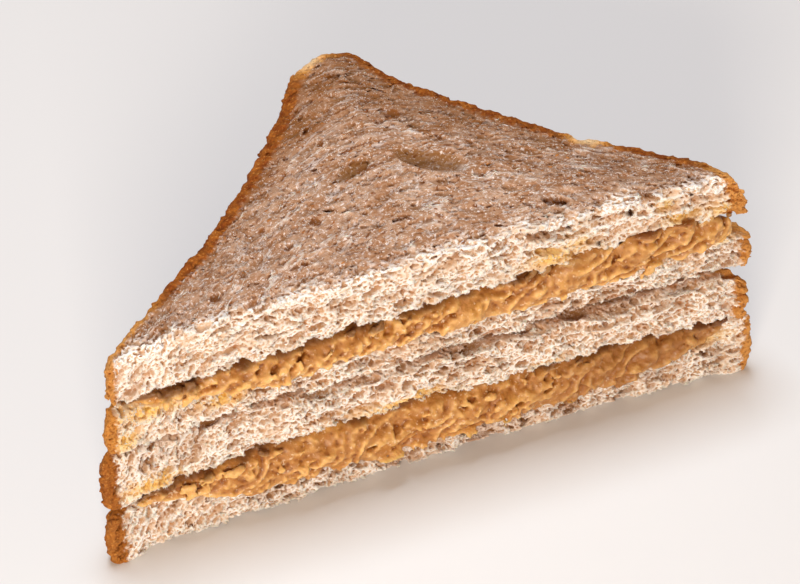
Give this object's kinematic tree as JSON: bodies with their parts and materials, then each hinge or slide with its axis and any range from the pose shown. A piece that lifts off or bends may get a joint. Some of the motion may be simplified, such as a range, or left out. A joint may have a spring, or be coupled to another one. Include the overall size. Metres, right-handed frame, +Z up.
{
  "type": "tuna club sandwich",
  "caption": "Stacked triangular halves of a wholemeal loaf sandwich, layers of bread and creamed tuna showing at the torn diagonal cut, standing on a flat underside.",
  "frame": {"origin": "middle of the footprint's bounding box, on the table under the lowest slice", "axes": "+X along the diagonal cut, -Y out of the cut face, +Y towards the corner of the loaf, +Z up"},
  "size_m": [0.1528, 0.0787, 0.0644],
  "materials": {
    "bread": "open, matt bread crumb with a thin brown crust",
    "tuna": "moist, flaky paste"
  },
  "bodies": {
    "root": {"bread_bottom": "bread", "tuna_lower": "tuna", "bread_lower_middle": "bread", "bread_upper_middle": "bread", "tuna_upper": "tuna", "bread_top": "bread"}
  },
  "joints": []
}
